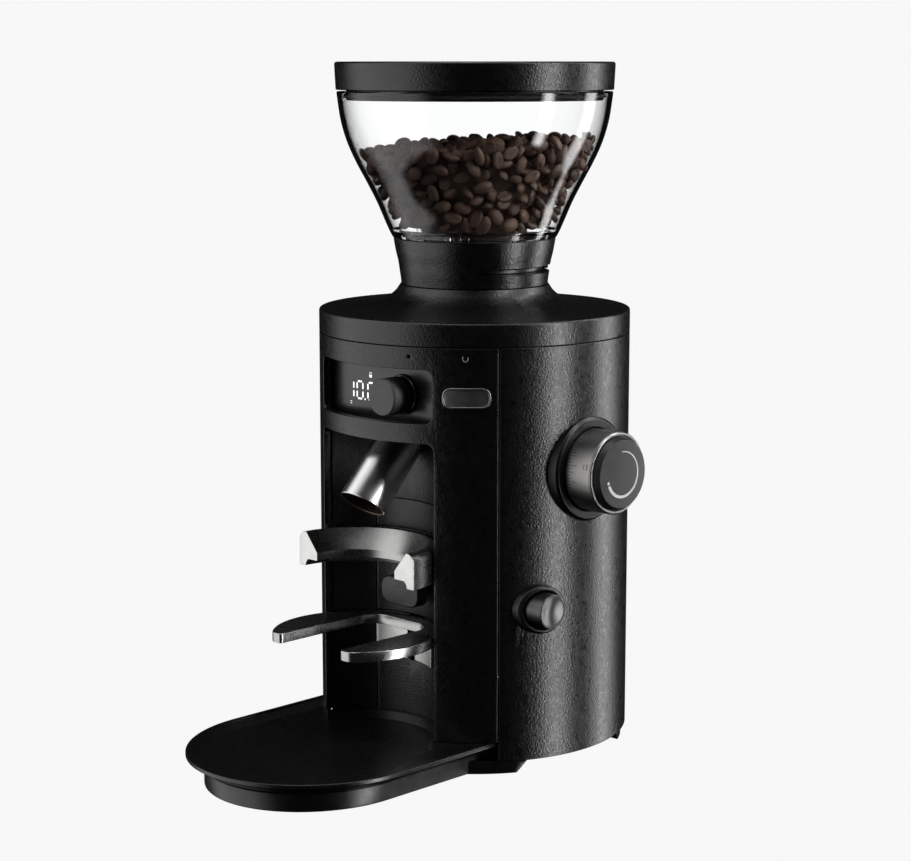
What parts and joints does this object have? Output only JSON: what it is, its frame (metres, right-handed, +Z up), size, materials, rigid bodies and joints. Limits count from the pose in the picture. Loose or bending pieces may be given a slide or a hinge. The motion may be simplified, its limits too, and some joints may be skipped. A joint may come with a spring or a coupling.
{
  "type": "burr coffee grinder",
  "caption": "Round electric burr grinder with a clear bean hopper, slanted spout, half-ring portafilter forks, grounds tray and grind dial.",
  "frame": {"origin": "on the ground, on the vertical axis of the round body", "axes": "+Z up, the bay, spout and tray face -Y, the dial and the button are on +X"},
  "size_m": [0.2154, 0.306, 0.4166],
  "materials": {
    "grained_shell": "black powder coat with a fine leathery grain, satin",
    "grained_plastic": "black moulded plastic with a fine leathery grain, satin",
    "smooth_plastic": "smooth black, satin",
    "cap_plastic": "black soft-touch, matt",
    "display_gloss": "black glossy window over the display",
    "clear_plastic": "water-clear, polished",
    "fork_steel": "satin, bead-blasted end faces",
    "polished_steel": "polished tube",
    "dial_metal": "satin turned, with a bright rim",
    "button_metal": "dark anodised, satin",
    "badge_metal": "satin, plain",
    "base_metal": "black coated casting, satin",
    "cast_metal": "as cast",
    "plain_steel": "turned",
    "circuit_board": "green solder mask",
    "switch_plastic": "plain black moulding",
    "rubber": "matt"
  },
  "bodies": {
    "housing": {"base_plate": "base_metal", "foot_1": "rubber", "foot_2": "rubber", "foot_3": "rubber", "foot_4": "rubber", "body_shell": "grained_shell", "front_panel": "grained_plastic", "badge": "badge_metal", "recess_liner": "grained_plastic", "rail_lower": "grained_plastic", "fork_block": "grained_plastic", "rail_middle": "grained_plastic", "rail_top": "grained_plastic", "fork_upper": "fork_steel", "spout": "polished_steel", "deck": "cast_metal", "post_1": "plain_steel", "post_2": "plain_steel", "post_3": "plain_steel", "post_4": "plain_steel", "motor_body": "cast_metal", "grind_chamber": "cast_metal", "gear_bracket": "cast_metal", "knob_ring": "smooth_plastic", "button_ring": "smooth_plastic", "button_switch": "switch_plastic", "display_frame": "smooth_plastic", "display_glass": "display_gloss", "display_board": "circuit_board", "encoder_body": "cast_metal", "control_board": "circuit_board", "power_supply": "switch_plastic", "mains_inlet": "switch_plastic"},
    "tray": {"tray": "smooth_plastic"},
    "lower_fork": {"fork_lower": "fork_steel", "fork_nut": "plain_steel"},
    "pad": {"switch_pad": "grained_plastic"},
    "encoder_push": {"encoder_shaft": "plain_steel"},
    "encoder_turn": {"encoder_knob": "cap_plastic"},
    "dial": {"dial_knob": "dial_metal", "dial_cap": "cap_plastic", "knob_shaft": "plain_steel"},
    "gear_shaft": {"transfer_shaft": "plain_steel"},
    "ring": {"adjust_ring": "cast_metal"},
    "burr_carrier": {"upper_carrier": "cast_metal", "upper_burr": "plain_steel"},
    "burrs": {"motor_shaft": "plain_steel", "lower_carrier": "cast_metal", "lower_burr": "plain_steel", "burr_nut": "plain_steel"},
    "button": {"side_button": "button_metal"},
    "cover": {"top_cover": "grained_plastic", "bean_throat": "smooth_plastic"},
    "hopper": {"hopper_bowl": "clear_plastic", "hopper_collar": "grained_plastic"},
    "gate": {"gate_disc": "smooth_plastic"},
    "lid": {"hopper_lid": "grained_plastic", "lid_seal": "rubber"}
  },
  "joints": [
    {"name": "tray_pull", "type": "slide", "parent": "housing", "child": "tray", "axis": [0, -1, 0], "range_m": [0, 0.09]},
    {"name": "lower_fork_height", "type": "slide", "parent": "housing", "child": "lower_fork", "axis": [0, 0, 1], "range_m": [-0.02, 0]},
    {"name": "pad_press", "type": "slide", "parent": "housing", "child": "pad", "axis": [0, 1, 0], "range_m": [0, 0.003], "stiffness_N_per_m": 300},
    {"name": "encoder_press", "type": "slide", "parent": "housing", "child": "encoder_push", "axis": [0, 1, 0], "range_m": [0, 0.0012], "stiffness_N_per_m": 500},
    {"name": "encoder_spin", "type": "hinge", "parent": "encoder_push", "child": "encoder_turn", "pos_m": [0.017, -0.088, 0.2243], "axis": [0, 1, 0], "continuous": true},
    {"name": "dial_turn", "type": "hinge", "parent": "housing", "child": "dial", "pos_m": [0.1, 0, 0.18], "axis": [1, 0, 0], "range_deg": [-150, 200]},
    {"name": "gear_shaft_turn", "type": "hinge", "parent": "housing", "child": "gear_shaft", "pos_m": [0.06, 0, 0.21], "axis": [0, 0, 1], "range_deg": [-201, 151]},
    {"name": "ring_turn", "type": "hinge", "parent": "housing", "child": "ring", "pos_m": [0, 0, 0.243], "axis": [0, 0, 1], "range_deg": [-31, 41]},
    {"name": "burr_gap", "type": "slide", "parent": "ring", "child": "burr_carrier", "axis": [0, 0, 1], "range_m": [-0.0003, 0.0004]},
    {"name": "burr_spin", "type": "hinge", "parent": "housing", "child": "burrs", "pos_m": [0, 0, 0.15], "axis": [0, 0, 1], "continuous": true},
    {"name": "button_press", "type": "slide", "parent": "housing", "child": "button", "axis": [-1, 0, 0], "range_m": [0, 0.0025], "stiffness_N_per_m": 400},
    {"name": "cover_turn", "type": "hinge", "parent": "housing", "child": "cover", "pos_m": [0, 0, 0.26], "axis": [0, 0, 1], "range_deg": [0, 20]},
    {"name": "hopper_lift", "type": "slide", "parent": "cover", "child": "hopper", "axis": [0, 0, 1], "range_m": [0, 0.05]},
    {"name": "gate_turn", "type": "hinge", "parent": "hopper", "child": "gate", "pos_m": [0, 0, 0.293], "axis": [0, 0, 1], "range_deg": [-90, 0]},
    {"name": "lid_lift", "type": "slide", "parent": "hopper", "child": "lid", "axis": [0, 0, 1], "range_m": [0, 0.06]}
  ],
  "couplings": [
    {"joint": "gear_shaft_turn", "follows": "dial_turn", "ratio": -1},
    {"joint": "ring_turn", "follows": "dial_turn", "ratio": 0.2},
    {"joint": "burr_gap", "follows": "dial_turn", "m_per_rad": 0.00009549}
  ]
}
